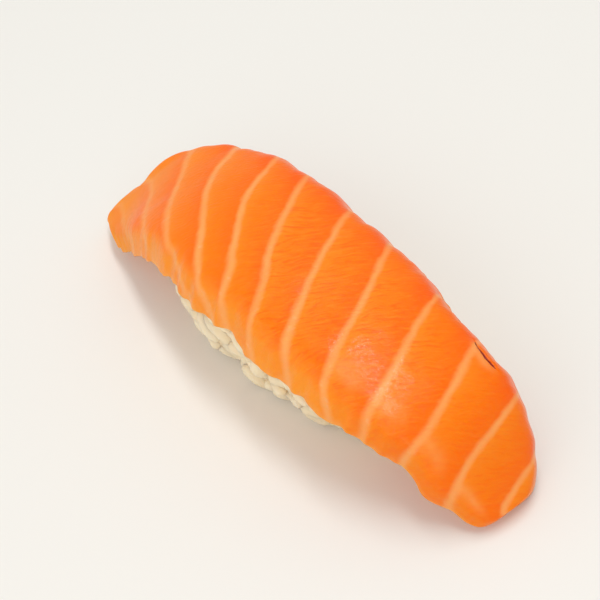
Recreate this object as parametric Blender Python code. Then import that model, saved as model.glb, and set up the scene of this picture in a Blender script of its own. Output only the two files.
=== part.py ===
"""Salmon nigiri: a slice of raw salmon draped over a pressed finger of rice.

Metres, +Z up. X runs from the thin tail end of the slice to its broad head end, and the front is at -Y.
Run with: blender --background --python part.py
"""

import math

import bmesh
import bpy
import numpy as np
from mathutils import Matrix, Vector
from mathutils.bvhtree import BVHTree

MM = 0.001
BACKWARD = np.array((0.0, 1.0, 0.0))
UPWARD = np.array((0.0, 0.0, 1.0))

# The slice, one row a station from tail to head: the place along X, how far the middle of the crown lies to
# the back, its height, the arcs from it over the side down to the front and back cut edge (all in millimetres),
# and how many degrees the slice leans over to the front there.
FISH_STATIONS = (
    (-45.0, -9.3, 4.0, 4.6, 3.5, 28.0),
    (-39.5, -6.3, 10.2, 12.0, 7.2, 26.0),
    (-33.0, -3.0, 16.4, 15.8, 12.2, 18.0),
    (-26.0, -1.5, 20.0, 17.4, 14.8, 9.0),
    (-14.0, -0.8, 23.5, 19.1, 17.2, 3.0),
    (0.0, -0.5, 24.2, 19.3, 18.3, 0.0),
    (14.0, 0.0, 23.5, 18.5, 17.5, 0.0),
    (28.0, 0.0, 22.0, 17.0, 15.6, 0.0),
    (40.0, 1.0, 16.0, 13.5, 14.6, 0.0),
    (50.0, 1.0, 2.8, 9.5, 14.0, 0.0),
)
FISH_THICK = 5.5 * MM
FISH_THIN = 0.55  # share of the thickness left at the two ends
CROWN_SLOPE = math.radians(13.0)  # of the top where it folds over
RIM_SLOPE = math.radians(66.0)  # of the cut side face below the fold
FOLD_AT = 0.68  # share of the arc, crown to cut edge
FOLD_SPREAD = 0.30
END_ROUND = 0.08  # share of the length over which each end is rounded in plan
END_SHARP = 2.0  # exponent of that rounding
END_LEFT = 0.3  # share of the width left at the very end
END_EDGE = 0.03  # share of the length over which the underside rises to the end's own edge
END_EDGE_LEFT = 0.35  # share of the thickness left there
LEAN = 0.5  # how far a cross-section stands square to the slice, and how far upright

EDGE_WAVES = ((19.0, 0.35), (8.3, 0.22), (3.7, 0.10))  # wavelength and depth of the uneven cut edge, mm
WAVE_APART = 1.9  # radians from one wave to the next
SIDE_APART = 2.3  # and from one cut edge to the other
WAVE_STRETCH = 1.3  # how far, in radians, a slower wave moves this one
STRETCH_PACE = 0.37  # and how slow that one is
NICK = (-38.5, 1.6, -1.8)  # in the back edge near the tail: place, half width and depth, mm
RAG = (15.5, 3.0, 1.1)  # torn tongue of the front edge, the same way

STATION_COUNT = 60
STATION_EVEN = 0.5  # 1 spaces the cross-sections evenly, 0 crowds them towards the ends
TOP_STEPS = 22
UNDER_STEPS = 12
ARC_STEPS = 80  # steps in which the outside's slope is summed

# The rice under it.
RICE_LONG = 56.0 * MM
RICE_WIDE = 27.0 * MM
RICE_TALL = 21.0 * MM
RICE_MIDDLE = (3.0 * MM, 0.0)
RICE_TURN = math.radians(7.0)  # seen from above, against the slice laid over it
RICE_PLAN = 2.7  # exponent of the oval seen from above: 2 is an ellipse
RICE_SIDE = 2.9  # and of the oval seen from an end
RICE_FLAT = 2.0 * MM  # cut off the underside for it to stand on
GRAIN_LONG = 7.2 * MM
GRAIN_WIDE = 3.4 * MM
GRAIN_PROUD = 1.2 * MM
GRAIN_COUNT = 330
GAP = 0.4 * MM

SEED = 11


def clear_scene():
    for old in list(bpy.data.objects):
        bpy.data.objects.remove(old, do_unlink=True)


def material(name, colour, roughness):
    made = bpy.data.materials.new(name)
    made.use_nodes = True
    shader = made.node_tree.nodes["Principled BSDF"]
    shader.inputs["Base Color"].default_value = (*colour, 1.0)
    shader.inputs["Roughness"].default_value = roughness
    shader.inputs["Metallic"].default_value = 0.0
    made.diffuse_color = (*colour, 1.0)
    return made


def node(name, mesh, look, parent):
    made = bpy.data.objects.new(name, mesh)
    mesh.materials.append(look)
    mesh.shade_smooth()
    made.parent = parent
    bpy.context.scene.collection.objects.link(made)
    return made


def smooth_between(stations, values, at):
    """A smooth curve through the stations: cubic pieces that share their slope where they meet."""
    slopes = np.gradient(values, stations)
    k = int(np.clip(np.searchsorted(stations, at) - 1, 0, len(stations) - 2))
    span = stations[k + 1] - stations[k]
    t = (at - stations[k]) / span
    start = values[k] * (1 + 2 * t) * (1 - t) ** 2 + slopes[k] * span * t * (1 - t) ** 2
    end = values[k + 1] * t * t * (3 - 2 * t) - slopes[k + 1] * span * t * t * (1 - t)
    return start + end


def rounded(share, over, left):
    """1 along the slice, falling at both ends to what is left there, as a round corner does."""
    from_end = min(1.0, min(share, 1 - share) / over)
    corner = (1 - (1 - from_end) ** END_SHARP) ** (1 / END_SHARP)
    return left + (1 - left) * corner


def edge_wave(x, side):
    """How far the cut edge strays at this place, so that it looks cut by hand."""
    place, half_width, out = NICK if side > 0 else RAG
    stray = out * MM * math.exp(-(((x / MM - place) / half_width) ** 2))
    for number, (length, depth) in enumerate(EDGE_WAVES):
        turn = 2 * math.pi * x / (length * MM) + WAVE_APART * number + SIDE_APART * side
        stray += depth * MM * math.sin(turn + WAVE_STRETCH * math.sin(STRETCH_PACE * turn))
    return stray


def fold(reach):
    """The slope of the outside at this share of the arc, from the crown's middle to the cut edge."""
    turned = np.clip((reach - FOLD_AT) / FOLD_SPREAD + 0.5, 0, 1)
    turned = turned * turned * (3 - 2 * turned)
    gentle = CROWN_SLOPE * reach / FOLD_AT
    return gentle + (RIM_SLOPE - gentle) * turned


def side_profile(arc, reaches):
    """(away from the middle, down from the crown) at each share of one side's arc."""
    fine = np.linspace(0, 1, ARC_STEPS + 1)
    slope = fold(fine)
    step = arc / ARC_STEPS
    away = np.concatenate([[0], np.cumsum(np.cos(slope[1:]) * step)])
    down = np.concatenate([[0], np.cumsum(np.sin(slope[1:]) * step)])
    return np.interp(reaches, fine, away), np.interp(reaches, fine, down)


def fish_sections():
    """Rings round the slice: over the top from the front cut edge to the back one, and back underneath."""
    table = np.array(FISH_STATIONS).T
    stations, *columns = table
    even = np.linspace(0, 1, STATION_COUNT)
    shares = STATION_EVEN * even + (1 - STATION_EVEN) * (1 - np.cos(math.pi * even)) / 2
    places = stations[0] + shares * (stations[-1] - stations[0])
    aside, height, front, back, tilt = [
        np.array([smooth_between(stations, column, x) for x in places]) for column in columns
    ]
    middle = np.stack([places, aside, height], axis=1) * MM
    along = np.gradient(middle, axis=0)
    along /= np.linalg.norm(along, axis=1)[:, None]
    rings = []
    for k, centre in enumerate(middle):
        upright = np.cross(along[k], BACKWARD) * LEAN + UPWARD * (1 - LEAN)
        upright /= np.linalg.norm(upright)
        lean = math.radians(tilt[k])
        across = BACKWARD * math.cos(lean) + upright * math.sin(lean)
        up = upright * math.cos(lean) - BACKWARD * math.sin(lean)
        width = rounded(shares[k], END_ROUND, END_LEFT)
        edge = rounded(shares[k], END_EDGE, END_EDGE_LEFT)
        thick = FISH_THICK * (FISH_THIN + (1 - FISH_THIN) * width**2) * edge
        arcs = [
            (side, (arc * MM + edge_wave(centre[0], side)) * width)
            for side, arc in ((-1, front[k]), (1, back[k]))
        ]
        rings.append(fish_ring(centre, across, up, arcs, thick))
    return rings


def fish_ring(centre, across, up, sides, thick):
    spread = np.linspace(0, 1, TOP_STEPS // 2 + 1)
    over = []
    for side, arc in sides:
        away, down = side_profile(arc, spread)
        points = centre + np.outer(side * away, across) - np.outer(down, up)
        over.append(points)
    top = np.concatenate([over[0][:0:-1], over[1]])
    under = under_side(centre, across, up, sides, thick, over)
    return np.concatenate([top, under])


def under_side(centre, across, up, sides, thick, over):
    """The inner face: the crown's own curve one thickness down, meeting the outside at the cut edges."""
    shares = np.linspace(1, -1, UNDER_STEPS + 1)[1:-1]
    points = []
    for share in shares:
        side, arc = sides[1] if share > 0 else sides[0]
        edge = over[1][-1] if share > 0 else over[0][-1]
        reach = np.array([abs(share) * FOLD_AT, FOLD_AT])
        away, down = side_profile(arc, reach)
        slope = CROWN_SLOPE * np.array([abs(share), 1.0])
        inner = [
            centre
            + across * side * (away[i] - thick * math.sin(slope[i]))
            - up * (down[i] + thick * math.cos(slope[i]))
            for i in (0, 1)
        ]
        points.append(inner[0] + (edge - inner[1]) * abs(share) ** 3)
    return np.array(points)


def loft(name, rings):
    """A closed body through rings of as many points each, with a flat face over each end."""
    shape = bmesh.new()
    loops = [[shape.verts.new(point) for point in ring] for ring in rings]
    count = len(loops[0])
    for first, second in zip(loops, loops[1:]):
        for k in range(count):
            after = (k + 1) % count
            shape.faces.new((first[k], second[k], second[after], first[after]))
    shape.faces.new(loops[0])
    shape.faces.new(loops[-1])
    bmesh.ops.recalc_face_normals(shape, faces=shape.faces)
    bmesh.ops.triangulate(shape, faces=shape.faces)
    mesh = bpy.data.meshes.new(name)
    shape.to_mesh(mesh)
    shape.free()
    return mesh


def superellipsoid(direction):
    """The pressed finger's own surface, as a distance from its middle in this direction."""
    x, y, z = np.abs(direction)
    plan = ((x * 2 / RICE_LONG) ** RICE_PLAN + (y * 2 / RICE_WIDE) ** RICE_PLAN) ** (RICE_SIDE / RICE_PLAN)
    tall = (z * 2 / (RICE_TALL + RICE_FLAT)) ** RICE_SIDE
    return (plan + tall) ** (-1 / RICE_SIDE)


def grains(random):
    """(place on the finger's surface, direction it lies in) of each grain."""
    made = []
    while len(made) < GRAIN_COUNT:
        way = random.normal(size=3)
        way /= np.linalg.norm(way)
        place = way * superellipsoid(way)
        lie = np.cross(way, random.normal(size=3))
        made.append((place, lie / np.linalg.norm(lie)))
    return np.array([place for place, _ in made]), np.array([lie for _, lie in made])


def grain_rise(points, places, lies):
    """How far the grain that stands out most lifts each point off the finger."""
    offset = points[:, None, :] - places[None, :, :]
    length = np.einsum("pgk,gk->pg", offset, lies)
    width = np.sqrt(np.maximum((offset**2).sum(axis=2) - length**2, 0))
    near = (length * 2 / GRAIN_LONG) ** 2 + (width * 2 / GRAIN_WIDE) ** 2
    return GRAIN_PROUD * np.sqrt(np.clip(1 - near, 0, 1)).max(axis=1)


def rice_mesh(fish):
    """The finger of rice, lumpy with grains, flat below and pressed in clear of the fish."""
    random = np.random.default_rng(SEED)
    shape = bmesh.new()
    bmesh.ops.create_icosphere(shape, subdivisions=5, radius=1.0)
    ways = np.array([v.co.normalized() for v in shape.verts])
    points = np.array([way * superellipsoid(way) for way in ways])
    points -= ways * (GRAIN_PROUD / 2)
    rise = grain_rise(points, *grains(random))
    centre = (*RICE_MIDDLE, (RICE_TALL - RICE_FLAT) / 2)
    reach = np.linalg.norm(points, axis=1) + rise
    turn = Matrix.Rotation(RICE_TURN, 3, "Z")
    cover = BVHTree.FromBMesh(fish)
    for vert, way, far in zip(shape.verts, ways, reach):
        vert.co = clear_of(cover, Vector(centre), turn @ Vector(way), far)
        vert.co.z = max(vert.co.z, 0.0)
    mesh = bpy.data.meshes.new("rice")
    shape.to_mesh(mesh)
    shape.free()
    return mesh


def clear_of(cover, centre, way, far):
    """The furthest place along this direction that still keeps the gap to the fish."""
    hit = cover.ray_cast(centre, way)[3]
    if hit is not None:
        far = min(far, hit - GAP)
    place = centre + way * far
    while cover.find_nearest(place)[3] < GAP:
        far -= 0.1 * MM
        place = centre + way * far
    return place


def stand_on_origin(parent, children):
    """Moves the whole so that the middle of its box, seen from above, is the origin."""
    corners = np.array([v.co for child in children for v in child.data.vertices])
    low, high = corners.min(axis=0), corners.max(axis=0)
    parent.location = (-(low[0] + high[0]) / 2, -(low[1] + high[1]) / 2, -low[2])


def main():
    clear_scene()
    nigiri = bpy.data.objects.new("nigiri", None)
    bpy.context.scene.collection.objects.link(nigiri)
    fish_skin = loft("salmon", fish_sections())
    fish_shape = bmesh.new()
    fish_shape.from_mesh(fish_skin)
    rice_skin = rice_mesh(fish_shape)
    fish_shape.free()
    salmon = node("salmon", fish_skin, material("salmon_flesh", (0.93, 0.20, 0.02), 0.25), nigiri)
    rice = node("rice", rice_skin, material("cooked_rice", (0.86, 0.81, 0.68), 0.35), nigiri)
    stand_on_origin(nigiri, (salmon, rice))


main()
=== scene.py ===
"""Salmon nigiri: the looks of a slice of raw salmon draped over a pressed finger of rice."""

import itertools
import math

import bmesh
import bpy
import numpy as np
from bpy.props import FloatProperty, FloatVectorProperty, IntProperty, PointerProperty
from bpy.types import Operator, Panel, PropertyGroup
from mathutils import Matrix, Vector
from mathutils.bvhtree import BVHTree


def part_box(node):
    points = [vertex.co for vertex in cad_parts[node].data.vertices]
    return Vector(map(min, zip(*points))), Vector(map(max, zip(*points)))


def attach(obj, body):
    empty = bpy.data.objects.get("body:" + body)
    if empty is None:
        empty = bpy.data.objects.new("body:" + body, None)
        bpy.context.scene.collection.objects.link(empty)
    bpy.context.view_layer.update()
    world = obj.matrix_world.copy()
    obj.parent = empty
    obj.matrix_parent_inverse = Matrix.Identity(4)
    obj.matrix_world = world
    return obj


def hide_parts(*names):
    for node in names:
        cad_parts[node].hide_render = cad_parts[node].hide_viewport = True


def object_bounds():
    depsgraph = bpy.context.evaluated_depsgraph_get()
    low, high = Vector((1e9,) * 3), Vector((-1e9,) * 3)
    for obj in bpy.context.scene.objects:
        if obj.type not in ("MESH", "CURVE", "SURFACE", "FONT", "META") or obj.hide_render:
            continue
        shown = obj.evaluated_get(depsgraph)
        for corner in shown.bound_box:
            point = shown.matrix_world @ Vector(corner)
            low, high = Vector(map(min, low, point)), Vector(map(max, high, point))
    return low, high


bl_info = {
    "name": "Salmon nigiri",
    "version": (1, 0, 0),
    "blender": (4, 5, 0),
    "location": "3D View > Sidebar > Nigiri",
    "description": "Makes the slice of salmon, the grains of rice and the stage of a nigiri",
    "category": "Object",
}

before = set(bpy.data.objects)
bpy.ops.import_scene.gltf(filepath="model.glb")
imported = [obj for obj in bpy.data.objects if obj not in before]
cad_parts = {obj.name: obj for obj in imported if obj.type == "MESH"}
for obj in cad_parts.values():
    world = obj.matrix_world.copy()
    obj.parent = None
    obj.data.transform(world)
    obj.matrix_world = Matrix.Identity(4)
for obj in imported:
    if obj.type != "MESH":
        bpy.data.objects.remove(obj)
CAD_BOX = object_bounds()
MM = 0.001

# ---------------------------------------------------------------- the slice's form, as the solid has it

BACKWARD = np.array((0.0, 1.0, 0.0))
UPWARD = np.array((0.0, 0.0, 1.0))
# One row a station from tail to head: place along X, crown's aside to the back, its height, arc to the front
# and to the back cut edge (mm), and degrees that the slice leans to the front.
FISH_STATIONS = (
    (-45.0, -9.3, 4.0, 4.6, 3.5, 28.0),
    (-39.5, -6.3, 10.2, 12.0, 7.2, 26.0),
    (-33.0, -3.0, 16.4, 15.8, 12.2, 18.0),
    (-26.0, -1.5, 20.0, 17.4, 14.8, 9.0),
    (-14.0, -0.8, 23.5, 19.1, 17.2, 3.0),
    (0.0, -0.5, 24.2, 19.3, 18.3, 0.0),
    (14.0, 0.0, 23.5, 18.5, 17.5, 0.0),
    (28.0, 0.0, 22.0, 17.0, 15.6, 0.0),
    (40.0, 1.0, 16.0, 13.5, 14.6, 0.0),
    (50.0, 1.0, 2.8, 9.5, 14.0, 0.0),
)
FISH_THICK = 5.5 * MM
FISH_THIN = 0.55
CROWN_SLOPE = math.radians(13.0)
RIM_SLOPE = math.radians(66.0)
FOLD_AT = 0.68
FOLD_SPREAD = 0.30
END_ROUND = 0.08
END_SHARP = 2.0
END_LEFT = 0.3
END_EDGE = 0.03
END_EDGE_LEFT = 0.35
LEAN = 0.5
EDGE_WAVES = ((19.0, 0.35), (8.3, 0.22), (3.7, 0.10))
WAVE_APART = 1.9
SIDE_APART = 2.3
WAVE_STRETCH = 1.3
STRETCH_PACE = 0.37
NICK = (-38.5, 1.6, -1.8)
RAG = (15.5, 3.0, 1.1)
STATION_EVEN = 0.5
ARC_STEPS = 80
CAD_STATIONS = 60
CAD_TOP_STEPS = 22
CAD_UNDER_STEPS = 12

# ---------------------------------------------------------------- the slice's finer form

STATIONS = 420
TOP_STEPS = 150
UNDER_STEPS = 50
# Where each fat line crosses the back fold, the crown, the front fold and the front cut edge, mm along X.
FAT_LINES = (
    (-46.5, -43.0, -36.0, -31.0),
    (-40.5, -36.0, -26.3, -21.3),
    (-33.7, -28.3, -17.5, -7.5),
    (-25.5, -20.3, -6.5, -0.5),
    (-16.6, -10.3, 1.0, 3.6),
    (-8.8, -1.5, 8.1, 10.7),
    (1.8, 8.6, 16.0, 18.8),
    (12.0, 19.2, 25.0, 28.3),
    (24.5, 29.2, 33.3, 34.3),
    (34.0, 37.8, 40.2, 40.4),
    (42.0, 43.8, 45.8, 46.4),
    (47.6, 49.3, 51.0, 51.6),
)
FAT_REACHES = (0.6, 0.0, -0.6, -0.88)
FRAYS = ((2.6, 0.34), (1.1, 0.26), (0.6, 0.10))  # size and depth of the cut edge's frayed fibres, mm
SWELLS = ((14.0, 0.16), (5.0, 0.09), (1.7, 0.035))  # size and height of the soft swells of the skin, mm
LINE_NOTCH = 0.08 * MM  # bite of the edge where a fat line ends
LINE_GROOVE = 0.08 * MM
RIM_RIDGES = ((1.3, 0.12), (0.6, 0.05))  # size along the slice and height of the ridges on the cut side
SLIT_PLACE = (35.4 * MM, 0.64)  # along X, and share of the back arc
SLIT_LONG = 4.8 * MM
SLIT_WIDE = 1.1 * MM
SLIT_DEEP = 0.8 * MM
# The notch and the shoulder on the tail's back fold: place along X, half width and height, mm.
TAIL_STEPS = ((-40.5, 0.8, -0.6), (-37.0, 2.2, 0.8))
TAIL_STEP_REACH = (0.65, 0.30)  # middle and half width of the steps, as shares of the back arc
END_CAP = (0.86, 0.62, 0.34, 0.12)
SKIN_INSET = 0.06 * MM
MOST_PITCH = 50 * MM  # the widest spacing that the fat lines are given
FIBRE_TURN = math.radians(-60.0)  # from the slice's length
FIBRE_STRAY = 2.4 * MM
KNOT_COLOUR = (1.0, 0.53, 0.26)
# Painted shade: the dark red inside the slit.
SLIT_SHADE_COLOUR = (0.30, 0.012, 0.002)

# ---------------------------------------------------------------- the rice

CORE_INSET = 1.5 * MM
GRAIN_BEADS = 4
PACK_ROUNDS = 45
PLACES_TRIED = 9000


class NigiriSlice(PropertyGroup):
    flesh: FloatVectorProperty(
        name="Flesh", description="Colour of the muscle", subtype="COLOR", default=(1.0, 0.2, 0.0)
    )
    # Also the colour of the painted shade towards the back edge.
    deep: FloatVectorProperty(
        name="Deep flesh", description="Colour where the muscle is reddest", subtype="COLOR",
        default=(1.0, 0.125, 0.0),
    )
    # Thin flesh: the paler flesh beside each fat line and the light fibres, and also the colour of the
    # painted glow on the cut side and the thin tail.
    rim: FloatVectorProperty(
        name="Thin flesh", description="Colour of thin edges that light passes through", subtype="COLOR",
        default=(1.0, 0.34, 0.02),
    )
    fat: FloatVectorProperty(
        name="Fat", description="Colour of the fat lines", subtype="COLOR", default=(1.0, 0.39, 0.11)
    )
    fat_width: FloatProperty(
        name="Fat line", description="Width of a fat line", unit="LENGTH", default=0.85 * MM
    )
    fibre: FloatProperty(
        name="Fibre", description="Spacing of the muscle fibres", unit="LENGTH", default=0.5 * MM
    )
    gloss: FloatProperty(name="Wetness", description="Weight of the wet film", subtype="FACTOR", default=0.3)


class NigiriRice(PropertyGroup):
    colour: FloatVectorProperty(
        name="Rice", description="Colour of the grains", subtype="COLOR", default=(0.96, 0.79, 0.57)
    )
    long: FloatProperty(name="Grain length", description="Length of a grain", unit="LENGTH", default=6.4 * MM)
    wide: FloatProperty(name="Grain width", description="Width of a grain", unit="LENGTH", default=3.4 * MM)
    thick: FloatProperty(
        name="Grain thickness", description="Thickness of a grain", unit="LENGTH", default=2.9 * MM
    )
    apart: FloatProperty(
        name="Spacing", description="Least distance between grains at the start", unit="LENGTH",
        default=2.75 * MM,
    )
    seed: IntProperty(name="Seed", description="Seed of the grains' places", default=7)


class NigiriStage(PropertyGroup):
    floor: FloatVectorProperty(
        name="Floor", description="Colour of the floor", subtype="COLOR", default=(0.86, 0.85, 0.81)
    )
    azimuth: FloatProperty(
        name="Azimuth", description="Camera's place round the piece", subtype="ANGLE",
        default=math.radians(62.62),
    )
    elevation: FloatProperty(
        name="Elevation", description="Camera's height angle", subtype="ANGLE", default=math.radians(45.5)
    )
    distance: FloatProperty(name="Distance", description="Camera's distance", unit="LENGTH", default=0.292)
    roll: FloatProperty(
        name="Roll", description="Camera's roll", subtype="ANGLE", default=math.radians(-11.45)
    )
    lens: FloatProperty(name="Lens", description="Focal length in mm", default=112.0)


# ---------------------------------------------------------------- node trees


class Value:
    """A socket that puts out a number or a vector; sums on it add Math nodes."""

    def __init__(self, graph, socket):
        self.graph = graph
        self.socket = socket

    def math(self, operation, *others):
        return self.graph.put("ShaderNodeMath", {"operation": operation}, dict(enumerate((self, *others))))

    def __add__(self, other):
        return self.math("ADD", other)

    def __radd__(self, other):
        return self.math("ADD", other)

    def __sub__(self, other):
        return self.math("SUBTRACT", other)

    def __rsub__(self, other):
        return self.graph.put("ShaderNodeMath", {"operation": "SUBTRACT"}, {0: other, 1: self})

    def __mul__(self, other):
        return self.math("MULTIPLY", other)

    def __rmul__(self, other):
        return self.math("MULTIPLY", other)

    def __truediv__(self, other):
        return self.math("DIVIDE", other)

    def __pow__(self, other):
        return self.math("POWER", other)

    def __abs__(self):
        return self.math("ABSOLUTE")


class Graph:
    """Adds nodes to a shader or geometry tree."""

    def __init__(self, tree):
        self.tree = tree

    def put(self, kind, settings=None, sockets=None, out=0):
        """Adds a node with these settings and socket values or links, and returns one of its outputs."""
        node = self.tree.nodes.new(kind)
        for name, value in (settings or {}).items():
            setattr(node, name, value)
        for key, value in (sockets or {}).items():
            if isinstance(value, Value):
                self.tree.links.new(value.socket, node.inputs[key])
            else:
                node.inputs[key].default_value = value
        return Value(self, node.outputs[out])

    def blend(self, share, first, second):
        """Mixes two colours."""
        both = {0: share, 6: colour4(first), 7: colour4(second)}
        return self.put("ShaderNodeMix", {"data_type": "RGBA"}, both, 2)

    def step(self, value, low, high):
        """Runs smoothly from 0 at low to 1 at high."""
        ends = {0: value, 1: low, 2: high, 3: 0.0, 4: 1.0}
        return self.put("ShaderNodeMapRange", {"interpolation_type": "SMOOTHSTEP"}, ends)

    def attribute(self, name, out=2):
        """A number kept on the mesh (or, with out 1, a vector)."""
        return self.put("ShaderNodeAttribute", {"attribute_name": name}, {}, out)

    def scaled(self, vector, factors):
        """A vector times another."""
        return self.put("ShaderNodeVectorMath", {"operation": "MULTIPLY"}, {0: vector, 1: factors})

    def noise(self, vector, size, detail=2.0, rough=0.5):
        """Noise between 0 and 1 with features of this size in metres."""
        inputs = {"Vector": vector, "Scale": 1 / size, "Detail": detail, "Roughness": rough}
        return self.put("ShaderNodeTexNoise", {}, inputs)


def colour4(value):
    return value if isinstance(value, Value) else (*value, 1.0)


def surface(name):
    """A new material with its graph and its Principled shader."""
    made = bpy.data.materials.new(name)
    made.use_nodes = True
    return made, Graph(made.node_tree), made.node_tree.nodes["Principled BSDF"]


def plug(graph, shader, **values):
    """Feeds the shader's sockets, named with underscores for spaces."""
    for name, value in values.items():
        socket = shader.inputs[name.replace("_", " ")]
        if isinstance(value, Value):
            graph.tree.links.new(value.socket, socket)
        else:
            socket.default_value = value


# ---------------------------------------------------------------- the slice


def smooth_between(stations, values, at):
    """A smooth curve through the stations: cubic pieces that share their slope where they meet."""
    slopes = np.gradient(values, stations)
    k = np.clip(np.searchsorted(stations, at) - 1, 0, len(stations) - 2)
    span = stations[k + 1] - stations[k]
    t = (at - stations[k]) / span
    start = values[k] * (1 + 2 * t) * (1 - t) ** 2 + slopes[k] * span * t * (1 - t) ** 2
    end = values[k + 1] * t * t * (3 - 2 * t) - slopes[k + 1] * span * t * t * (1 - t)
    return start + end


def rounded(share, over, left):
    """1 along the slice, falling at both ends to what is left there, as a round corner does."""
    from_end = np.minimum(1.0, np.minimum(share, 1 - share) / over)
    corner = (1 - (1 - from_end) ** END_SHARP) ** (1 / END_SHARP)
    return left + (1 - left) * corner


def edge_wave(x, side):
    """How far the cut edge strays at each place."""
    place, half_width, out = NICK if side > 0 else RAG
    stray = out * MM * np.exp(-(((x / MM - place) / half_width) ** 2))
    for number, (length, depth) in enumerate(EDGE_WAVES):
        turn = 2 * math.pi * x / (length * MM) + WAVE_APART * number + SIDE_APART * side
        stray += depth * MM * np.sin(turn + WAVE_STRETCH * np.sin(STRETCH_PACE * turn))
    return stray


def fold(reach):
    """The slope of the outside at this share of the arc, from the crown's middle to the cut edge."""
    turned = smoothstep((reach - FOLD_AT) / FOLD_SPREAD + 0.5)
    gentle = CROWN_SLOPE * reach / FOLD_AT
    return gentle + (RIM_SLOPE - gentle) * turned


def smoothstep(share):
    share = np.clip(share, 0, 1)
    return share * share * (3 - 2 * share)


def side_profile(reach):
    """(away from the middle, down from the crown) at each share of an arc of length 1."""
    fine = np.linspace(0, 1, ARC_STEPS + 1)
    slope = fold(fine)
    away = np.concatenate([[0], np.cumsum(np.cos(slope[1:]) / ARC_STEPS)])
    down = np.concatenate([[0], np.cumsum(np.sin(slope[1:]) / ARC_STEPS)])
    return np.interp(reach, fine, away), np.interp(reach, fine, down)


def soft_noise(points, size, seed):
    """Smooth noise between -1 and 1 with features of this size, at rows of three coordinates."""
    count = 64
    lattice = np.random.default_rng(seed).uniform(-1, 1, (count, count, count))
    place = np.asarray(points) / size
    cell = np.floor(place).astype(int)
    share = smoothstep(place - cell)
    total = 0.0
    for corner in itertools.product((0, 1), repeat=3):
        index = (cell + corner) % count
        weight = np.prod(np.where(corner, share, 1 - share), axis=-1)
        total = total + weight * lattice[index[..., 0], index[..., 1], index[..., 2]]
    return total


class Slab:
    """The slice's rings of points, with what the finish reads at each point."""

    def __init__(self, stations, tops, unders, fine):
        columns = np.array(FISH_STATIONS).T
        even = np.linspace(0, 1, stations)
        shares = STATION_EVEN * even + (1 - STATION_EVEN) * (1 - np.cos(math.pi * even)) / 2
        places = columns[0][0] + shares * (columns[0][-1] - columns[0][0])
        aside, height, front, back, tilt = [smooth_between(columns[0], c, places) for c in columns[1:]]
        middle = np.stack([places, aside, height], axis=1) * MM
        along = np.gradient(middle, axis=0)
        along /= np.linalg.norm(along, axis=1)[:, None]
        upright = np.cross(along, BACKWARD) * LEAN + UPWARD * (1 - LEAN)
        upright /= np.linalg.norm(upright, axis=1)[:, None]
        cos, sin = np.cos(np.radians(tilt))[:, None], np.sin(np.radians(tilt))[:, None]
        self.middle = middle
        self.across = BACKWARD * cos + upright * sin
        self.up = upright * cos - BACKWARD * sin
        width = rounded(shares, END_ROUND, END_LEFT)
        edge = rounded(shares, END_EDGE, END_EDGE_LEFT)
        self.thick = FISH_THICK * (FISH_THIN + (1 - FISH_THIN) * width**2) * edge
        self.length = np.concatenate([[0], np.cumsum(np.linalg.norm(np.diff(middle, axis=0), axis=1))])
        arcs = []
        for side, arc in ((-1, front), (1, back)):
            stray = edge_wave(middle[:, 0], side)
            if fine:
                stray = stray + self.fray(side)
            arcs.append((arc * MM + stray) * width)
        self.arcs = dict(zip((-1, 1), arcs))
        spread = np.linspace(-1, 1, tops + 1)
        under = np.linspace(1, -1, unders + 1)[1:-1]
        self.tops = len(spread)
        self.reach = np.concatenate([spread, under])
        self.points = np.concatenate([self.outside(spread), self.inside(under)], axis=1)

    def fray(self, side):
        """Frayed fibres of the cut edge, and the bites where the fat lines end."""
        x = self.middle[:, 0]
        stray = np.zeros_like(x)
        for number, (size, depth) in enumerate(FRAYS):
            place = np.stack([x, np.full_like(x, side * 7 * MM), np.zeros_like(x)], axis=1)
            stray += depth * MM * soft_noise(place, size * MM, 40 + number)
        band = fat_count(x[:, None] / MM, np.array([[0.95 * side]]))[:, 0]
        from_line = np.abs(band - np.round(band)) * 9.0 * MM
        return stray - LINE_NOTCH * np.exp(-((from_line / (0.7 * MM)) ** 2))

    def arc_at(self, reach):
        return np.where(reach[None, :] > 0, self.arcs[1][:, None], self.arcs[-1][:, None])

    def outside(self, reach):
        away, down = side_profile(np.abs(reach))
        arc = self.arc_at(reach)[..., None]
        out = self.middle[:, None] + arc * (np.sign(reach) * away)[None, :, None] * self.across[:, None]
        return out - arc * down[None, :, None] * self.up[:, None]

    def inside(self, reach):
        """The crown's own curve one thickness down, meeting the outside at the cut edges."""
        at_share = self.below(np.abs(reach) * FOLD_AT, reach, CROWN_SLOPE * np.abs(reach))
        at_edge = self.below(np.full_like(reach, FOLD_AT), reach, np.full_like(reach, CROWN_SLOPE))
        rim = self.outside(np.sign(reach) + (reach == 0))
        return at_share + (rim - at_edge) * (np.abs(reach) ** 3)[None, :, None]

    def below(self, share, reach, slope):
        away, down = side_profile(share)
        arc, thick = self.arc_at(reach), self.thick[:, None]
        aside = np.sign(reach)[None] * (arc * away[None] - thick * np.sin(slope)[None])
        drop = arc * down[None] + thick * np.cos(slope)[None]
        beside = self.middle[:, None] + aside[..., None] * self.across[:, None]
        return beside - drop[..., None] * self.up[:, None]


def fat_count(x, reach):
    """How many fat lines lie towards the tail: a whole number on each line, x in mm."""
    rows = np.array(FAT_LINES)
    knots = np.array(FAT_REACHES)[::-1]
    flat = np.clip(np.asarray(reach, float), -1.0, 0.9) + 0 * x
    places = np.stack([smooth_between(knots, row[::-1], flat) for row in rows], axis=-1)
    x = x + 0 * flat
    k = np.clip((places < x[..., None]).sum(axis=-1) - 1, 0, len(rows) - 2)
    low = np.take_along_axis(places, k[..., None], -1)[..., 0]
    high = np.take_along_axis(places, k[..., None] + 1, -1)[..., 0]
    return k + (x - low) / (high - low)


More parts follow.
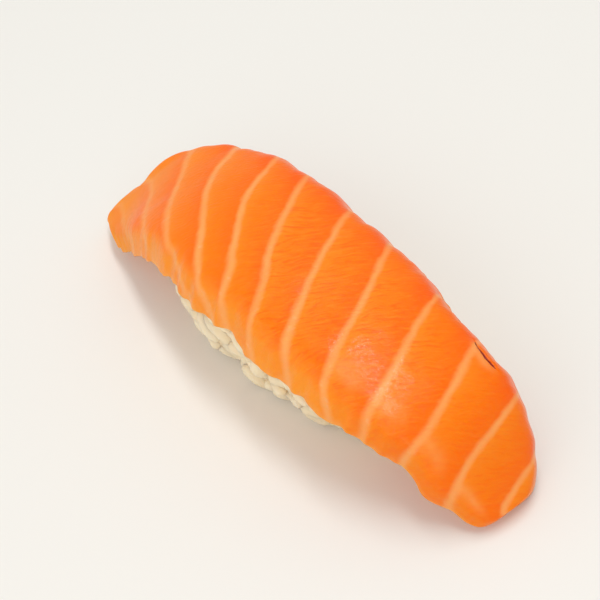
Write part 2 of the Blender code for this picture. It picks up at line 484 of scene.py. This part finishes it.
def normals_of(points):
    """Outward normals of rings of points, joined all the way round."""
    around = np.roll(points, -1, axis=1) - np.roll(points, 1, axis=1)
    along = np.gradient(points, axis=0)
    normal = np.cross(around, along)
    normal /= np.maximum(np.linalg.norm(normal, axis=2, keepdims=True), 1e-12)
    outward = points - points.mean(axis=1, keepdims=True)
    return normal * np.sign((normal * outward).sum(axis=2).mean())


def salmon_fields(slab):
    """What the relief and the finish read at each point of the slice."""
    x = slab.middle[:, :1] + 0 * slab.reach[None]
    reach = slab.reach[None] + 0 * x
    aside = reach * slab.arc_at(slab.reach)
    lay = np.stack([slab.length[:, None] + 0 * x, aside, 0 * x], axis=-1)
    band = fat_count(x / MM, reach)
    under = np.arange(band.shape[1]) >= slab.tops
    slope_along = np.gradient(band, axis=0) / np.gradient(slab.length)[:, None]
    slope_across = np.empty_like(band)
    slope_across[:, ~under] = np.gradient(band[:, ~under], axis=1) / np.gradient(aside[:, ~under], axis=1)
    slope_across[:, under] = np.median(slope_across[:, ~under])
    pitch = 1 / np.maximum(np.hypot(slope_along, slope_across), 1 / MOST_PITCH)
    rim = smoothstep((np.abs(reach) - FOLD_AT + 0.06) / 0.2)
    rim[:, under] = 1.0
    tail = smoothstep((-24.0 * MM - x) / (22.0 * MM))
    fringe = smoothstep((np.abs(reach) - 0.88) / 0.1)
    # Mask of the painted highlight along the front fold.
    fold_highlight_mask = np.exp(-(((reach + 0.50) / 0.10) ** 2)) * (1 - under)
    return {
        "x": x, "reach": reach, "lay": lay, "band": band, "pitch": pitch, "rim": rim, "tail": tail,
        "fringe": fringe, "fold_highlight_mask": fold_highlight_mask, "under": np.broadcast_to(under, band.shape).astype(float),
    }


def slit_share(fields):
    """The small slit near the back edge, 1 in its middle and 0 at its sides, and the pale strip beside it."""
    along = (fields["x"] - SLIT_PLACE[0]) / (SLIT_LONG / 2)
    across = (fields["reach"] - SLIT_PLACE[1] + 0.03 * along) * 15.5 * MM / (SLIT_WIDE / 2)
    half = np.sqrt(np.clip(1 - along**2, 0, 1)) * (0.65 + 0.35 * along)
    far = np.abs(across) - half
    inside = np.clip(-far / np.maximum(half, 0.2), 0, 1) * (np.abs(along) < 1)
    inside = inside * (fields["under"] < 0.5)
    pale = np.exp(-(((far - 1.2) / 1.3) ** 2)) * np.exp(-(along**4)) * (across < 0) * (fields["under"] < 0.5)
    return inside, pale


def relief(fields, slit):
    """How far each point stands proud of the plain form, in metres."""
    lay, band = fields["lay"], fields["band"]
    top = 1 - fields["rim"]
    rise = np.zeros_like(band)
    for number, (size, height) in enumerate(SWELLS):
        rise += height * MM * soft_noise(lay, size * MM, 50 + number)
    from_line = np.abs(band - np.round(band)) * fields["pitch"]
    rise -= LINE_GROOVE * np.exp(-((from_line / (0.65 * MM)) ** 2)) * (0.35 + 0.65 * top)
    for number, (size, height) in enumerate(RIM_RIDGES):
        ridged = lay * np.array((1.0, 0.25, 1.0))
        rise += height * MM * soft_noise(ridged, size * MM, 60 + number) * fields["rim"]
    from_fold = (fields["reach"] - TAIL_STEP_REACH[0]) / TAIL_STEP_REACH[1]
    on_fold = np.exp(-(from_fold**2)) * (1 - fields["under"])
    for place, half_width, height in TAIL_STEPS:
        rise += height * MM * np.exp(-(((fields["x"] / MM - place) / half_width) ** 2)) * on_fold
    return rise - SLIT_DEEP * slit


def softened(points, rounds):
    """Points with their ring's corners rounded a little."""
    for _ in range(rounds):
        mean = (np.roll(points, 1, axis=1) + np.roll(points, -1, axis=1)) / 2
        points = points * 0.5 + mean * 0.5
    return points


def capped(values, points):
    """Adds the rings that close both ends: points shrink to their middle, other values stay as they are."""
    ends = []
    for ring in (values[0], values[-1]):
        middle = ring.mean(axis=0) if points else ring
        ends.append([middle + (ring - middle) * share for share in END_CAP])
    return np.concatenate([ends[0][::-1], values, ends[1]])


def unrolled(rings, count):
    """The flat map of a closed grid: its rings side by side, and its two end faces as small discs above."""
    u, v = np.linspace(0, 1, rings), np.linspace(0, 0.95, count + 1)
    across = np.stack([u[:-1], u[:-1], u[1:], u[1:]], axis=-1)[:, None] + np.zeros((1, count, 1))
    around = np.stack([v[:-1], v[1:], v[1:], v[:-1]], axis=-1)[None] + np.zeros((rings - 1, 1, 1))
    turn = np.linspace(0, 2 * math.pi, count, endpoint=False)
    disc = np.stack([np.cos(turn), np.sin(turn)], axis=-1) * 0.015
    quads = np.stack([across, around], axis=-1).reshape(-1, 2)
    return np.concatenate([quads, disc + (0.05, 0.975), disc + (0.15, 0.975)])


def grid_mesh(name, points, numbers, vectors):
    """A closed mesh through rings of points, with attributes."""
    rings, count = points.shape[:2]
    index = np.arange(rings * count).reshape(rings, count)
    after = np.roll(index, -1, axis=1)
    quads = np.stack([index[:-1], after[:-1], after[1:], index[1:]], axis=-1).reshape(-1, 4)
    faces = quads.tolist() + [index[0].tolist(), index[-1].tolist()]
    mesh = bpy.data.meshes.new(name)
    mesh.from_pydata(points.reshape(-1, 3).tolist(), [], faces)
    mesh.uv_layers.new(name="OFBake").data.foreach_set("uv", unrolled(rings, count).ravel())
    for key, value in numbers.items():
        mesh.attributes.new(key, "FLOAT", "POINT").data.foreach_set("value", value.ravel().astype(np.float32))
    for key, value in vectors.items():
        mesh.attributes.new(key, "FLOAT_VECTOR", "POINT").data.foreach_set(
            "vector", value.reshape(-1).astype(np.float32)
        )
    shape = bmesh.new()
    shape.from_mesh(mesh)
    bmesh.ops.recalc_face_normals(shape, faces=shape.faces)
    bmesh.ops.triangulate(shape, faces=[f for f in shape.faces if len(f.verts) > 4])
    shape.to_mesh(mesh)
    shape.free()
    mesh.shade_smooth()
    return mesh


def shown(name, mesh, look):
    """A new object of this mesh, all in one material."""
    made = bpy.data.objects.new(name, mesh)
    mesh.materials.clear()
    mesh.materials.append(look)
    bpy.context.scene.collection.objects.link(made)
    return made


def salmon_mesh():
    """The slice with its fine form, on the solid's own place, kept inside the solids' box."""
    plain = Slab(CAD_STATIONS, CAD_TOP_STEPS, CAD_UNDER_STEPS, fine=False).points.reshape(-1, 3)
    shift = np.array(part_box("salmon")[0]) - plain.min(axis=0)
    shift[2] = 0.0
    slab = Slab(STATIONS, TOP_STEPS, UNDER_STEPS, fine=True)
    fields = salmon_fields(slab)
    slit, pale = slit_share(fields)
    rise = relief(fields, slit) - SKIN_INSET
    points = softened(slab.points, 3)
    points = points + normals_of(points) * rise[..., None] + shift
    closed = capped(points, True)
    for _ in range(4):
        closed[1:-1] = closed[1:-1] * 0.5 + (closed[:-2] + closed[2:]) * 0.25
    low, high = (np.array(corner) for corner in CAD_BOX)
    closed = np.clip(closed, low, high)
    numbers = {key: capped(fields[key], False) for key in ("band", "pitch", "rim", "tail", "fringe", "fold_highlight_mask")}
    numbers["slit"] = capped(slit, False)
    numbers["pale"] = capped(pale, False)
    return grid_mesh("salmon_slice", closed, numbers, {"lay": capped(fields["lay"], False)})


def flesh_look(settings):
    """Raw salmon: muscle in bands between fat lines, fibres and a wet film, with painted light: a painted
    glow on the cut side and the thin tail, a painted highlight on the front fold, and painted shade in the
    slit and towards the back edge.
    """
    look, g, shader = surface("salmon_flesh")
    lay = g.attribute("lay", 1)
    band, pitch = g.attribute("band"), g.attribute("pitch")
    rim, tail, slit, pale, fringe = (g.attribute(name) for name in ("rim", "tail", "slit", "pale", "fringe"))
    drift = g.put("ShaderNodeTexNoise", {}, {"Vector": lay, "Scale": 1 / (6 * MM), "Detail": 1.0}, 1)
    stray = {0: drift, 1: (FIBRE_STRAY,) * 3, 2: lay}
    strayed = g.put("ShaderNodeVectorMath", {"operation": "MULTIPLY_ADD"}, stray)
    turn = {"Vector": strayed, "Angle": FIBRE_TURN}
    turned = g.put("ShaderNodeVectorRotate", {"rotation_type": "Z_AXIS"}, turn)
    line = band + (g.noise(lay, 5 * MM) - 0.5) * 0.09
    nearest = line.math("ROUND")
    from_line = abs(line - nearest) * pitch
    uneven = g.noise(lay, 2.2 * MM, 3.0)
    aside = g.put("ShaderNodeSeparateXYZ", {}, {0: lay}, 1)
    front = g.step(aside, -3 * MM, -12 * MM)
    back = g.step(aside, 4 * MM, 13 * MM)
    half = settings.fat_width / 2 * (0.45 + uneven + 0.3 * front - 0.2 * back)
    fat = 1 - g.step(from_line / half, 0.1, 2.4)
    strong = g.step(band, 0.4, 3.2) * 0.5 + 0.35 - 0.25 * back
    fat = fat * strong * (0.7 + 0.55 * g.noise(lay, 8 * MM))
    past = line - line.math("FLOOR")
    begun = g.step(past, 0.0, 0.06)
    pale_side = begun * (1 - g.step(past, 0.05, 0.45)) * 0.30
    deep_side = g.step(past, 0.45, 0.85) * (1 - g.step(past, 0.93, 1.0))
    fibres = g.noise(g.scaled(turned, (0.14, 1.0, 1.0)), settings.fibre, 2.0, 0.6)
    broad = g.noise(g.scaled(turned, (0.4, 1.0, 1.0)), 6 * MM, 2.0)
    # Deeper red: the flesh's own deeper tone before each fat line, and painted shade towards the back edge,
    # where the surface turns away from the light.
    deep_tone_and_back_shade = (deep_side * 0.45 + back * 0.75) * (0.5 + broad)
    colour = g.blend(deep_tone_and_back_shade.math("MINIMUM", 1.0), settings.flesh, settings.deep)
    colour = g.blend(pale_side * (1 - 0.7 * back), colour, settings.rim)
    grain = (0.12 + g.step(band, 3.6, 5.4) - 0.6 * g.step(band, 7.6, 9.4)) * (1 - 0.6 * back)
    colour = g.blend(g.step(fibres, 0.5, 0.72) * 0.22 * grain, colour, settings.rim)
    colour = g.blend((1 - g.step(fibres, 0.32, 0.5)) * 0.5 * grain, colour, settings.deep)
    # Painted light: the cut side face lightened towards the thin-flesh colour for light bounced up from the
    # floor and passing through the thin flesh, fading towards the head and the back edge.
    painted_edge_glow = rim * (1 - back) * (0.55 + 0.7 * g.noise(lay, 7 * MM)) * (1 - 0.75 * g.step(band, 6.5, 8.5))
    colour = g.blend(painted_edge_glow * 0.75, colour, settings.rim)
    # Painted glow: the thin tail lightened towards the thin-flesh colour for light passing through the thin
    # flesh.
    colour = g.blend(tail * 0.45, colour, settings.rim)
    colour = g.blend(fringe * g.step(g.noise(lay, 1.6 * MM), 0.3, 0.7) * 0.45, colour, settings.fat)
    # Painted highlight: the front fold lightened towards the fat colour where it catches the light, on the
    # head half only.
    painted_fold_highlight = begun * g.attribute("fold_highlight_mask") * g.step(band, 6.2, 7.6) * (1 - g.step(past, 0.35, 0.8))
    colour = g.blend(painted_fold_highlight * g.noise(lay, 3 * MM) * 0.8, colour, settings.fat)
    colour = g.blend(fat, colour, settings.fat)
    knots = fat * g.step(g.noise(lay, 1.3 * MM), 0.56, 0.74) * front
    colour = g.blend(knots * 0.45, colour, KNOT_COLOUR)
    colour = g.blend(pale * 0.6, colour, settings.fat)
    # Painted shade: the slit darkened to dark red.
    colour = g.blend(g.step(slit, 0.08, 0.4), colour, SLIT_SHADE_COLOUR)
    dimple = g.noise(lay, 0.7 * MM, 3.0, 0.6)
    streaks = g.noise(g.scaled(turned, (0.35, 1.0, 1.0)), 0.32 * MM, 1.0)
    height = fibres * 0.35 + dimple * 0.3 + streaks * 0.35
    bump = g.put("ShaderNodeBump", {}, {"Strength": 0.5, "Distance": 0.3 * MM, "Height": height})
    plug(
        g, shader, Base_Color=colour, Roughness=0.26 + 0.16 * dimple + 0.3 * tail, Normal=bump,
        Coat_Weight=settings.gloss * g.step(dimple, 0.35, 0.7) * (1 - 0.8 * tail), Coat_Roughness=0.12,
        Subsurface_Weight=0.35, Subsurface_Scale=3 * MM, Subsurface_Radius=(1.0, 0.35, 0.12), IOR=1.36,
        Specular_IOR_Level=0.25,
    )
    return look


class NIGIRI_OT_salmon(Operator):
    """Makes the slice of raw salmon"""

    bl_idname = "nigiri.salmon"
    bl_label = "Salmon slice"

    def execute(self, context):
        piece = shown("salmon_slice", salmon_mesh(), flesh_look(context.scene.nigiri_slice))
        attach(piece, "root")
        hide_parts("salmon")
        return {"FINISHED"}


# ---------------------------------------------------------------- the rice


def hull_of(node):
    """A search tree of a node's surface and its corner points and triangles."""
    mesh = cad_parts[node].data
    mesh.calc_loop_triangles()
    points = np.empty(len(mesh.vertices) * 3)
    mesh.vertices.foreach_get("co", points)
    points = points.reshape(-1, 3)
    faces = np.empty(len(mesh.loop_triangles) * 3, np.int32)
    mesh.loop_triangles.foreach_get("vertices", faces)
    faces = faces.reshape(-1, 3)
    return BVHTree.FromPolygons(points.tolist(), faces.tolist()), points, faces


def scattered(points, faces, apart, random):
    """Places spread evenly over a surface, no two nearer than this."""
    corners = points[faces]
    area = np.linalg.norm(np.cross(corners[:, 1] - corners[:, 0], corners[:, 2] - corners[:, 0]), axis=1)
    chosen = random.choice(len(faces), PLACES_TRIED, p=area / area.sum())
    mix = random.dirichlet((1.0, 1.0, 1.0), len(chosen))
    tried = (corners[chosen] * mix[..., None]).sum(axis=1)
    kept = np.empty((0, 3))
    for place in tried:
        if not len(kept) or np.linalg.norm(kept - place, axis=1).min() > apart:
            kept = np.vstack([kept, place])
    return kept


def packed_grains(settings):
    """Where each grain lies, along what, and which way is out, once they have pushed each other apart."""
    random = np.random.default_rng(settings.seed)
    hull, points, faces = hull_of("rice")
    middle = scattered(points, faces, settings.apart, random)
    lie = random.normal(size=middle.shape)
    radius = settings.thick / 2
    reach = settings.long / 2 - radius
    along = np.linspace(-reach, reach, GRAIN_BEADS)
    owner = np.repeat(np.arange(len(middle)), GRAIN_BEADS)
    out = np.zeros_like(middle)
    depth = radius + random.uniform(0.0, 0.9 * MM, len(middle))
    for number in range(PACK_ROUNDS):
        near = [hull.find_nearest(Vector(place)) for place in middle]
        out = np.array([found[1] for found in near])
        flat = lie - out * (lie * out).sum(axis=1)[:, None] * 0.85
        lie = flat / np.linalg.norm(flat, axis=1)[:, None]
        beads = (middle[:, None] + along[None, :, None] * lie[:, None]).reshape(-1, 3)
        push = apart_push(beads, owner, radius * 0.8)
        for k, bead in enumerate(beads):
            place, normal, _, _ = hull.find_nearest(Vector(bead))
            inward = -float((Vector(bead) - place).dot(normal))
            wanted = depth[owner[k]]
            if inward < radius:
                push[k] -= np.array(normal) * (radius - inward)
            elif inward > wanted:
                push[k] += np.array(normal) * (inward - wanted) * 0.5
        beads = (beads + push).reshape(-1, GRAIN_BEADS, 3)
        middle = beads.mean(axis=1)
        lie = (beads * along[None, :, None]).sum(axis=1)
        lie /= np.linalg.norm(lie, axis=1)[:, None]
    return middle, lie, out


def apart_push(beads, owner, radius):
    """The push on each bead away from the beads of other grains that it overlaps."""
    push = np.zeros_like(beads)
    for k in range(0, len(beads), 200):
        gap = beads[k : k + 200, None] - beads[None]
        far = np.linalg.norm(gap, axis=2)
        meets = (far < 2 * radius) & (owner[k : k + 200, None] != owner[None])
        share = np.where(meets, (2 * radius - far) / np.maximum(far, 1e-6) * 0.25, 0.0)
        push[k : k + 200] = (gap * share[..., None]).sum(axis=1)
    return push


def grain_tree(look):
    """Geometry nodes that put one grain on every point, each a little different."""
    tree = bpy.data.node_groups.new("rice_grains", "GeometryNodeTree")
    face = tree.interface
    face.new_socket("Geometry", in_out="INPUT", socket_type="NodeSocketGeometry")
    for name in ("Length", "Width", "Thickness"):
        face.new_socket(name, in_out="INPUT", socket_type="NodeSocketFloat")
    face.new_socket("Geometry", in_out="OUTPUT", socket_type="NodeSocketGeometry")
    g = Graph(tree)
    entry = tree.nodes.new("NodeGroupInput")
    given = {socket.name: Value(g, socket) for socket in entry.outputs if socket.name}
    ball = g.put("GeometryNodeMeshUVSphere", {}, {"Segments": 12, "Rings": 8, "Radius": 1.0})
    spot = g.put("ShaderNodeSeparateXYZ", {}, {0: g.put("GeometryNodeInputPosition")})
    x, y, z = (Value(g, spot.socket.node.outputs[k]) for k in range(3))
    full = (1 - z * z).math("MAXIMUM", 0.001) ** -0.07
    bent = (z * z - 0.35) * 0.05 * given["Length"]
    shape = g.put(
        "ShaderNodeCombineXYZ", {},
        {
            0: x * full * given["Width"] * 0.5, 1: y * full * given["Thickness"] * 0.5,
            2: z * given["Length"] * 0.5,
        },
    )
    bend = g.put("ShaderNodeCombineXYZ", {}, {0: bent, 1: 0.0, 2: 0.0})
    form = g.put("ShaderNodeVectorMath", {"operation": "ADD"}, {0: shape, 1: bend})
    grain = g.put("GeometryNodeSetPosition", {}, {"Geometry": ball, "Position": form})
    lie = g.put("GeometryNodeInputNamedAttribute", {"data_type": "FLOAT_VECTOR"}, {"Name": "lie"})
    out = g.put("GeometryNodeInputNamedAttribute", {"data_type": "FLOAT_VECTOR"}, {"Name": "out"})
    size = g.put("GeometryNodeInputNamedAttribute", {"data_type": "FLOAT_VECTOR"}, {"Name": "size"})
    laid = g.put("FunctionNodeAlignRotationToVector", {"axis": "Z"}, {"Vector": lie})
    spin = {"Rotation": laid, "Vector": out}
    spun = g.put("FunctionNodeAlignRotationToVector", {"axis": "Y", "pivot_axis": "Z"}, spin)
    placed = g.put(
        "GeometryNodeInstanceOnPoints", {},
        {"Points": given["Geometry"], "Instance": grain, "Rotation": spun, "Scale": size},
    )
    real = g.put("GeometryNodeRealizeInstances", {}, {0: placed})
    where = g.put("GeometryNodeInputPosition")
    lump = g.put("ShaderNodeTexNoise", {}, {"Vector": where, "Scale": 1 / (2.2 * MM), "Detail": 1.0})
    normal = g.put("GeometryNodeInputNormal")
    proud = g.put(
        "ShaderNodeVectorMath", {"operation": "SCALE"}, {0: normal, "Scale": (lump - 0.62) * 0.5 * MM}
    )
    uneven = g.put("GeometryNodeSetPosition", {}, {"Geometry": real, "Offset": proud})
    spot = g.put("ShaderNodeSeparateXYZ", {}, {0: g.put("GeometryNodeInputPosition")})
    x, y, z = (Value(g, spot.socket.node.outputs[k]) for k in range(3))
    stood = g.put("ShaderNodeCombineXYZ", {}, {0: x, 1: y, 2: z.math("MAXIMUM", 0.02 * MM)})
    flat = g.put("GeometryNodeSetPosition", {}, {"Geometry": uneven, "Position": stood})
    smooth = g.put("GeometryNodeSetShadeSmooth", {}, {0: flat})
    done = g.put("GeometryNodeSetMaterial", {}, {"Geometry": smooth, "Material": look})
    end = tree.nodes.new("NodeGroupOutput")
    tree.links.new(done.socket, end.inputs[0])
    return tree


def grains_mesh(settings, look):
    """All the grains as one plain mesh."""
    middle, lie, out = packed_grains(settings)
    random = np.random.default_rng(settings.seed + 1)
    seeds = bpy.data.meshes.new("grain_places")
    seeds.from_pydata(middle.tolist(), [], [])
    size = random.uniform(0.86, 1.1, (len(middle), 3))
    for key, value in (("lie", lie), ("out", out), ("size", size)):
        seeds.attributes.new(key, "FLOAT_VECTOR", "POINT").data.foreach_set("vector", value.ravel())
    tint = random.uniform(0, 1, len(middle))
    seeds.attributes.new("tint", "FLOAT", "POINT").data.foreach_set("value", tint)
    helper = bpy.data.objects.new("grain_places", seeds)
    bpy.context.scene.collection.objects.link(helper)
    grow = helper.modifiers.new("grains", "NODES")
    grow.node_group = grain_tree(look)
    sizes = {"Length": settings.long, "Width": settings.wide, "Thickness": settings.thick}
    for socket in grow.node_group.interface.items_tree:
        if socket.name in sizes:
            grow[socket.identifier] = sizes[socket.name]
    graph = bpy.context.evaluated_depsgraph_get()
    made = bpy.data.meshes.new_from_object(helper.evaluated_get(graph))
    bpy.data.objects.remove(helper)
    for key in ("lie", "out", "size"):
        if key in made.attributes:
            made.attributes.remove(made.attributes[key])
    return made


def rice_look(settings, name, warmer):
    """Cooked rice: cream, moist, a little see-through, each grain a slightly different tint."""
    look, g, shader = surface(name)
    where = g.put("ShaderNodeTexCoord", {}, {}, 3)
    tint = g.attribute("tint")
    cloud = g.noise(where, 2.5 * MM, 2.0)
    pale = tuple(min(1.0, c * 1.05) for c in settings.colour)
    warm = tuple(c * k for c, k in zip(settings.colour, (0.98, 0.92, 0.82)))
    colour = g.blend(tint * 0.5 + cloud * 0.5, warm, pale)
    colour = g.blend(warmer, colour, tuple(c * k for c, k in zip(settings.colour, (0.97, 0.86, 0.70))))
    pits = g.noise(where, 0.5 * MM, 2.0)
    bump = g.put("ShaderNodeBump", {}, {"Strength": 0.2, "Distance": 0.12 * MM, "Height": pits})
    plug(
        g, shader, Base_Color=colour, Roughness=0.34 + 0.16 * pits, Normal=bump, Coat_Weight=0.2,
        Coat_Roughness=0.2, Subsurface_Weight=0.6, Subsurface_Scale=1.6 * MM,
        Subsurface_Radius=(1.0, 0.95, 0.88), IOR=1.4,
    )
    return look


class NIGIRI_OT_core(Operator):
    """Makes the rice inside, which shows between the grains"""

    bl_idname = "nigiri.core"
    bl_label = "Rice core"

    def execute(self, context):
        hull, points, _ = hull_of("rice")
        centre = Vector((points.min(axis=0) + points.max(axis=0)) / 2)
        shape = bmesh.new()
        bmesh.ops.create_icosphere(shape, subdivisions=6, radius=1.0)
        for vert in shape.verts:
            way = vert.co.normalized()
            far = hull.ray_cast(centre, way)[3]
            vert.co = centre + way * (far - CORE_INSET)
        every_axis = {"use_axis_x": True, "use_axis_y": True, "use_axis_z": True}
        bmesh.ops.smooth_vert(shape, verts=shape.verts, factor=0.5, **every_axis)
        mesh = bpy.data.meshes.new("rice_core")
        shape.to_mesh(mesh)
        shape.free()
        mesh.shade_smooth()
        piece = shown("rice_core", mesh, rice_look(context.scene.nigiri_rice, "rice_inside", 0.35))
        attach(piece, "root")
        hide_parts("rice")
        return {"FINISHED"}


class NIGIRI_OT_grains(Operator):
    """Packs the grains of rice over the core"""

    bl_idname = "nigiri.grains"
    bl_label = "Rice grains"

    def execute(self, context):
        settings = context.scene.nigiri_rice
        look = rice_look(settings, "rice_grain", 0.0)
        piece = shown("rice_grains", grains_mesh(settings, look), look)
        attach(piece, "root")
        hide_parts("rice")
        return {"FINISHED"}


# ---------------------------------------------------------------- the stage


def softbox(name, place, aim, size, strength):
    """A studio light of this size in metres and strength in watts."""
    light = bpy.data.lights.new(name, "AREA")
    light.shape = "RECTANGLE"
    light.size, light.size_y = size
    light.energy = strength
    made = bpy.data.objects.new(name, light)
    made.location = place
    made.rotation_euler = (Vector(aim) - Vector(place)).to_track_quat("-Z", "Y").to_euler()
    bpy.context.scene.collection.objects.link(made)


class NIGIRI_OT_stage(Operator):
    """Makes the floor, the studio lights and the camera"""

    bl_idname = "nigiri.stage"
    bl_label = "Stage"

    def execute(self, context):
        settings = context.scene.nigiri_stage
        mesh = bpy.data.meshes.new("floor")
        half = 6.0
        corners = [(-half, -half, 0), (half, -half, 0), (half, half, 0), (-half, half, 0)]
        mesh.from_pydata(corners, [], [(0, 1, 2, 3)])
        look, g, shader = surface("pale_floor")
        plug(g, shader, Base_Color=(*settings.floor, 1.0), Roughness=0.6)
        shown("floor", mesh, look)
        world = bpy.data.worlds.new("studio")
        context.scene.world = world
        world.use_nodes = True
        world.node_tree.nodes["Background"].inputs[0].default_value = (1.0, 0.98, 0.95, 1.0)
        world.node_tree.nodes["Background"].inputs[1].default_value = 0.62
        low, high = CAD_BOX
        aim = (low + high) / 2
        softbox("strip", (0.02, 0.07, 0.60), aim, (0.55, 0.10), 1.4)
        softbox("fill", (0.35, -0.45, 0.40), aim, (0.7, 0.6), 0.9)
        softbox("left", (-0.30, -0.50, 0.35), aim, (0.5, 0.5), 0.35)
        a, e = settings.azimuth, settings.elevation
        back = Vector((math.sin(a) * math.cos(e), -math.cos(a) * math.cos(e), math.sin(e)))
        camera = bpy.data.objects.new("camera", bpy.data.cameras.new("camera"))
        camera.data.lens = settings.lens
        camera.data.clip_start = 0.01
        camera.location = aim + back * settings.distance
        turn = (-back).to_track_quat("-Z", "Y").to_matrix() @ Matrix.Rotation(settings.roll, 3, "Z")
        camera.rotation_euler = turn.to_euler()
        context.scene.collection.objects.link(camera)
        context.scene.camera = camera
        context.scene.view_settings.view_transform = "Standard"
        return {"FINISHED"}


class NIGIRI_PT_panel(Panel):
    """Lists the nigiri's pieces in the sidebar"""

    bl_idname = "NIGIRI_PT_panel"
    bl_label = "Salmon nigiri"
    bl_space_type = "VIEW_3D"
    bl_region_type = "UI"
    bl_category = "Nigiri"

    def draw(self, context):
        for operator, group in PIECES:
            self.layout.operator(operator.bl_idname)
            settings = getattr(context.scene, group)
            for name in settings.__annotations__:
                self.layout.prop(settings, name)


PIECES = (
    (NIGIRI_OT_salmon, "nigiri_slice"),
    (NIGIRI_OT_core, "nigiri_rice"),
    (NIGIRI_OT_grains, "nigiri_rice"),
    (NIGIRI_OT_stage, "nigiri_stage"),
)
GROUPS = {"nigiri_slice": NigiriSlice, "nigiri_rice": NigiriRice, "nigiri_stage": NigiriStage}


def register():
    for name, group in GROUPS.items():
        bpy.utils.register_class(group)
        setattr(bpy.types.Scene, name, PointerProperty(type=group))
    for operator, _ in PIECES:
        bpy.utils.register_class(operator)
    bpy.utils.register_class(NIGIRI_PT_panel)


def unregister():
    bpy.utils.unregister_class(NIGIRI_PT_panel)
    for operator, _ in reversed(PIECES):
        bpy.utils.unregister_class(operator)
    for name, group in reversed(GROUPS.items()):
        delattr(bpy.types.Scene, name)
        bpy.utils.unregister_class(group)


def main():
    register()
    bpy.ops.nigiri.salmon()
    bpy.ops.nigiri.core()
    bpy.ops.nigiri.grains()
    bpy.ops.nigiri.stage()


if __name__ == "__main__":
    main()
